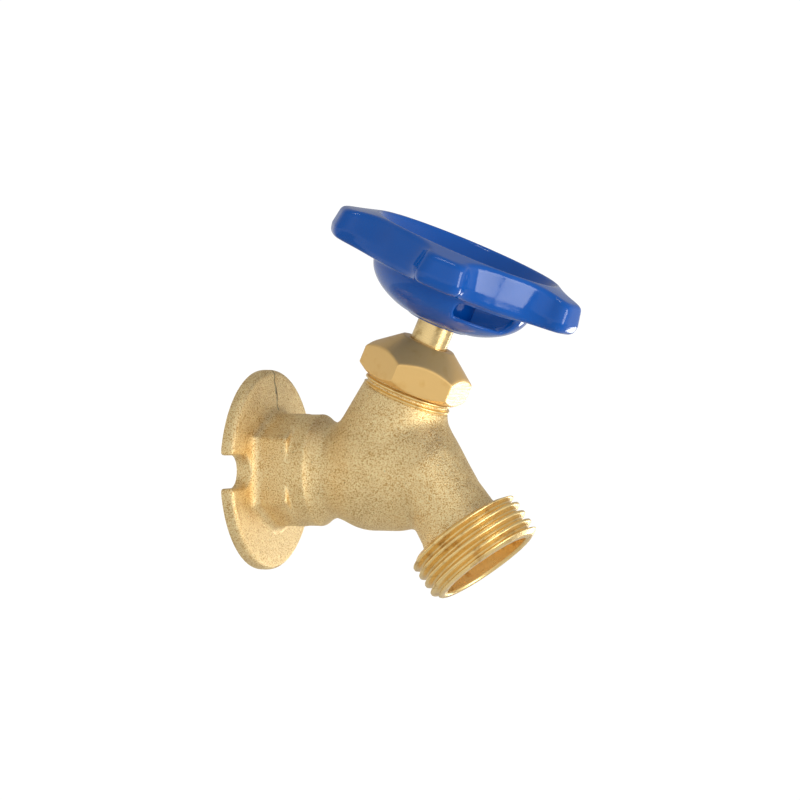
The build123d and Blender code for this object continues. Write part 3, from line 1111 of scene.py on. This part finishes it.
# ---------------------------------------------------------------- studio
@dataclass
class Studio:
    """White surroundings, a pale floor well below the part, soft lights and the camera."""

    azimuth: float = 21.5
    distance: float = 560.0
    scale: float = 4.45
    centre_px: tuple = (262.6, 469.5)
    floor_z: float = -0.6
    floor_half: float = 1.6
    target: tuple = (0.035, 0.0, 0.01)

    def camera(self) -> None:
        """Places the camera level with the part, square to the viewing direction.

        It stands the given distance out along the viewing direction, moved sideways and up so
        that the origin falls at its place in the frame of 800 by 800.
        """
        half = 400.0
        turn = math.radians(self.azimuth)
        back = np.array([math.sin(turn), -math.cos(turn), 0.0])
        right = np.array([math.cos(turn), math.sin(turn), 0.0])
        place = back * self.distance
        place = place - right * (self.centre_px[0] - half) / self.scale
        place[2] = (self.centre_px[1] - half) / self.scale
        data = bpy.data.cameras.new("camera")
        data.sensor_width = 36.0
        data.lens = self.scale * self.distance * data.sensor_width / (2 * half)
        data.clip_start = 0.01
        camera = bpy.data.objects.new("camera", data)
        camera.location = place * MM
        camera.rotation_euler = (math.pi / 2, 0.0, turn)
        bpy.context.scene.collection.objects.link(camera)
        bpy.context.scene.camera = camera

    def floor(self) -> None:
        """A pale floor far enough down that no shadow reaches the part."""
        half = self.floor_half
        mesh = bpy.data.meshes.new("floor")
        corners = [(-half, -half), (half, -half), (half, half), (-half, half)]
        mesh.from_pydata([(x, y, self.floor_z) for x, y in corners], [], [(0, 1, 2, 3)])
        floor = bpy.data.objects.new("floor", mesh)
        bpy.context.scene.collection.objects.link(floor)
        finish = PlainFinish("pale_painted_floor", "#FFFFFF", "#FBFBFB", 0.9, grain=4.0)
        dress(floor, finish.make())

    def lamp(self, name: str, place: tuple, size: tuple, power: float) -> None:
        """A rectangular soft light aimed at the part.

        Args:
            name: its name.
            place: its place in metres.
            size: its width and height in metres.
            power: its power in watts.
        """
        data = bpy.data.lights.new(name, "AREA")
        data.shape = "RECTANGLE"
        data.size, data.size_y = size
        data.energy = power
        light = bpy.data.objects.new(name, data)
        light.location = place
        light.visible_camera = False
        aim = Vector(self.target) - light.location
        light.rotation_euler = aim.to_track_quat("-Z", "Y").to_euler()
        bpy.context.scene.collection.objects.link(light)

    def surroundings(self) -> None:
        """World light: white to the camera, and for all else brightest level with the part and dim above."""
        world = bpy.data.worlds.new("studio")
        world.use_nodes = True
        tree = world.node_tree
        tree.nodes.clear()
        way = add(tree, "ShaderNodeTexCoord").outputs["Generated"]
        up = add(tree, "ShaderNodeSeparateXYZ", {0: way})
        shade = add(tree, "ShaderNodeValToRGB", {"Fac": add(
            tree, "ShaderNodeMapRange", {0: up.outputs["Z"], 1: -1.0, 2: 1.0, 3: 0.0, 4: 1.0}
        ).outputs[0]})
        ramp = shade.color_ramp
        ramp.elements[0].color = (0.72, 0.72, 0.72, 1)
        ramp.elements[1].color = (0.42, 0.42, 0.42, 1)
        ramp.elements.new(0.38).color = (0.95, 0.95, 0.95, 1)
        ramp.elements.new(0.5).color = (1.0, 1.0, 1.0, 1)
        ramp.elements.new(0.66).color = (0.58, 0.58, 0.58, 1)
        seen = add(tree, "ShaderNodeLightPath").outputs["Is Camera Ray"]
        behind = add(tree, "ShaderNodeMapRange", {0: up.outputs["Y"], 1: 0.2, 2: 0.9, 3: 1.0, 4: 0.68})
        glow = add(tree, "ShaderNodeBackground", {"Color": shade.outputs[0], "Strength": behind.outputs[0]})
        white = add(tree, "ShaderNodeBackground", {"Color": (1, 1, 1, 1), "Strength": 1.05})
        mix = add(tree, "ShaderNodeMixShader", {0: seen, 1: glow.outputs[0], 2: white.outputs[0]})
        add(tree, "ShaderNodeOutputWorld", {"Surface": mix.outputs[0]})
        bpy.context.scene.world = world

    def build(self) -> None:
        """Builds the floor, the lights and the camera."""
        self.surroundings()
        self.floor()
        self.lamp("right_panel", (0.67, -0.05, -0.14), (0.36, 0.32), 2.2)
        self.lamp("overhead_strip", (0.337, -0.337, 0.763), (0.3, 0.06), 0.8)
        self.lamp("back_panel", (0.2, 0.65, -0.2), (0.16, 0.14), 0.55)
        self.camera()
        bpy.context.scene.view_settings.view_transform = "Standard"
        bpy.context.scene.view_settings.look = "None"


# ---------------------------------------------------------------- the whole part
class Slot(Enum):
    """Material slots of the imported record."""

    CAST = "cast_brass"
    TURNED = "turned_brass"
    NUT = "nut_brass"
    WHEEL = "wheel_coating"
    RUBBER = "washer_rubber"
    PACKING = "packing_graphite"
    STEEL = "plated_steel"


def settle(piece: bpy.types.Object, body: str, slot: Slot, *nodes: str) -> None:
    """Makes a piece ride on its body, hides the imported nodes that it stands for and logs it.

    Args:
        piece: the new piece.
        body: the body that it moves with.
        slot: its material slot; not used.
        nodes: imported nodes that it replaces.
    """
    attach(piece, body)
    if nodes:
        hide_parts(*nodes)
    report(piece, body)


def main() -> None:
    """Builds the finishes, the sub-assemblies and the studio."""
    logging.basicConfig(level=logging.INFO)
    cast = BlastedBrass().make()
    spout_brass = TurnedBrass(
        "turned_brass_hose_thread", SPOUT, colour="#F8D893", stain="#B98B45", roughness=0.32, metallic=0.85
    ).make()
    stem_brass = TurnedBrass(
        "turned_brass_stem", STEM, colour="#F2D394", roughness=0.22, metallic=0.85
    ).make()
    nut_brass = TurnedBrass(
        "satin_forged_brass_nut", STEM, colour="#F3C87E", stain="#E8B767", roughness=0.33, relief=0.006,
        metallic=0.55,
    ).make()
    coating = DipCoating().make()

    settle(Casting().build(cast), "body", Slot.CAST, "valve_body")
    nose = Thread(
        "hose_thread", SPOUT, crest_r=13.49, root_r=12.1, pitch=2.209, start=-9.74, end=0.0, bore_r=10.4,
        lead=0.78, phase=-0.55, shoulder=0.2,
    )
    settle(nose.build(spout_brass), "body", Slot.CAST)
    neck = Thread(
        "neck_thread", STEM, crest_r=10.0, root_r=9.3, pitch=1.41, start=17.6, end=25.8, bore_r=8.8,
        lead=0.5, turns=240, spacing=0.12,
    )
    settle(neck.build(spout_brass), "body", Slot.CAST)
    settle(PackingNut().build(nut_brass), "body", Slot.NUT, "packing_nut")
    settle(Handwheel().build(coating), "spindle", Slot.WHEEL, "handwheel")

    steel = PlainFinish("zinc_plated_steel", "#D9D9D6", "#BDBDBA", 0.32, metallic=1.0)
    rubber = PlainFinish("moulded_black_rubber", "#141414", "#1E1E1E", 0.6)
    graphite = PlainFinish("pressed_graphite_yarn", "#2A2A2C", "#3A3A3D", 0.55, relief=0.06)
    finishes = {
        "stem": stem_brass,
        "washer_screw": stem_brass,
        "thrust_washer": stem_brass,
        "packing_follower": stem_brass,
        "seat_washer": rubber.make(),
        "handwheel_screw": steel.make(),
    }
    packing = graphite.make()
    finishes["lower_packing_ring"] = finishes["upper_packing_ring"] = packing
    for node, material in finishes.items():
        dress(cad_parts[node], material)

    Studio().build()


if __name__ == "__main__":
    main()
